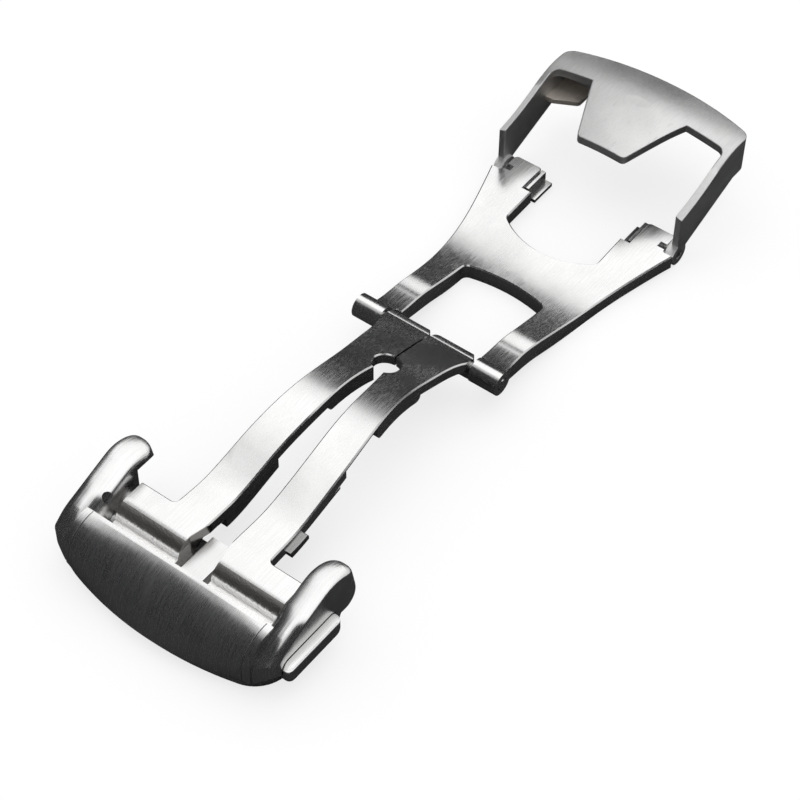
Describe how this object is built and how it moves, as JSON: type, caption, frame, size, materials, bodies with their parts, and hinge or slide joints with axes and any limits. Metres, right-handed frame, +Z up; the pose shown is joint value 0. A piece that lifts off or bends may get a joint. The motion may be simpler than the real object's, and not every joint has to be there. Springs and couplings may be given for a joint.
{
  "type": "deployant clasp",
  "caption": "Folding strap clasp, shown open: a horned cover with release buttons, two spring arms, a forked blade and a turning flap that clamps the strap",
  "frame": {"origin": "on the axis of the spring bar that holds the strap, midway between the two horns of the cover", "axes": "+X along the clasp from the cover to the flap, +Y along the spring bar to the left horn, +Z up, away from the wrist side"},
  "size_m": [0.0755, 0.0248, 0.0092],
  "materials": {
    "satin_steel": "fine satin brushing along the clasp, edges lightly bevelled and bright",
    "polished_steel": "polished steel with faint turning and handling marks"
  },
  "bodies": {
    "cover": {"cover_frame": "satin_steel", "base_plate": "satin_steel", "base_screws": "polished_steel", "left_guide_stud": "polished_steel", "right_guide_stud": "polished_steel", "hinge_pin": "polished_steel"},
    "left_button": {"left_button": "polished_steel", "left_plunger": "polished_steel"},
    "right_button": {"right_button": "polished_steel", "right_plunger": "polished_steel"},
    "left_arm": {"left_arm": "satin_steel", "left_catch": "satin_steel"},
    "right_arm": {"right_arm": "satin_steel", "right_catch": "satin_steel"},
    "blade": {"fold_blade": "satin_steel"},
    "flap": {"flap_frame": "satin_steel", "left_flap_pin": "polished_steel", "right_flap_pin": "polished_steel", "keeper_tab": "satin_steel", "strap_peg": "polished_steel"}
  },
  "joints": [
    {"name": "fold", "type": "hinge", "parent": "cover", "child": "blade", "pos_m": [0.0315, 0, -0.0023], "axis": [0, 1, 0], "range_deg": [0, 171]},
    {"name": "flap_turn", "type": "hinge", "parent": "blade", "child": "flap", "pos_m": [0.0566, 0, -0.00465], "axis": [0, 1, 0], "range_deg": [-38, 6]},
    {"name": "left_squeeze", "type": "hinge", "parent": "cover", "child": "left_arm", "pos_m": [0.0315, 0.0024, -0.0023], "axis": [0, 0, 1], "range_deg": [0, 0.895], "stiffness_Nm_per_rad": 1, "springref_deg": -0.57},
    {"name": "right_squeeze", "type": "hinge", "parent": "cover", "child": "right_arm", "pos_m": [0.0315, -0.0024, -0.0023], "axis": [0, 0, -1], "range_deg": [0, 0.895], "stiffness_Nm_per_rad": 1, "springref_deg": -0.57},
    {"name": "left_press", "type": "slide", "parent": "cover", "child": "left_button", "axis": [0, -1, 0], "range_m": [0, 0.0005]},
    {"name": "right_press", "type": "slide", "parent": "cover", "child": "right_button", "axis": [0, 1, 0], "range_m": [0, 0.0005]}
  ],
  "couplings": [
    {"joint": "left_press", "follows": "left_squeeze", "m_per_rad": 0.0319},
    {"joint": "right_press", "follows": "right_squeeze", "m_per_rad": 0.0319}
  ]
}
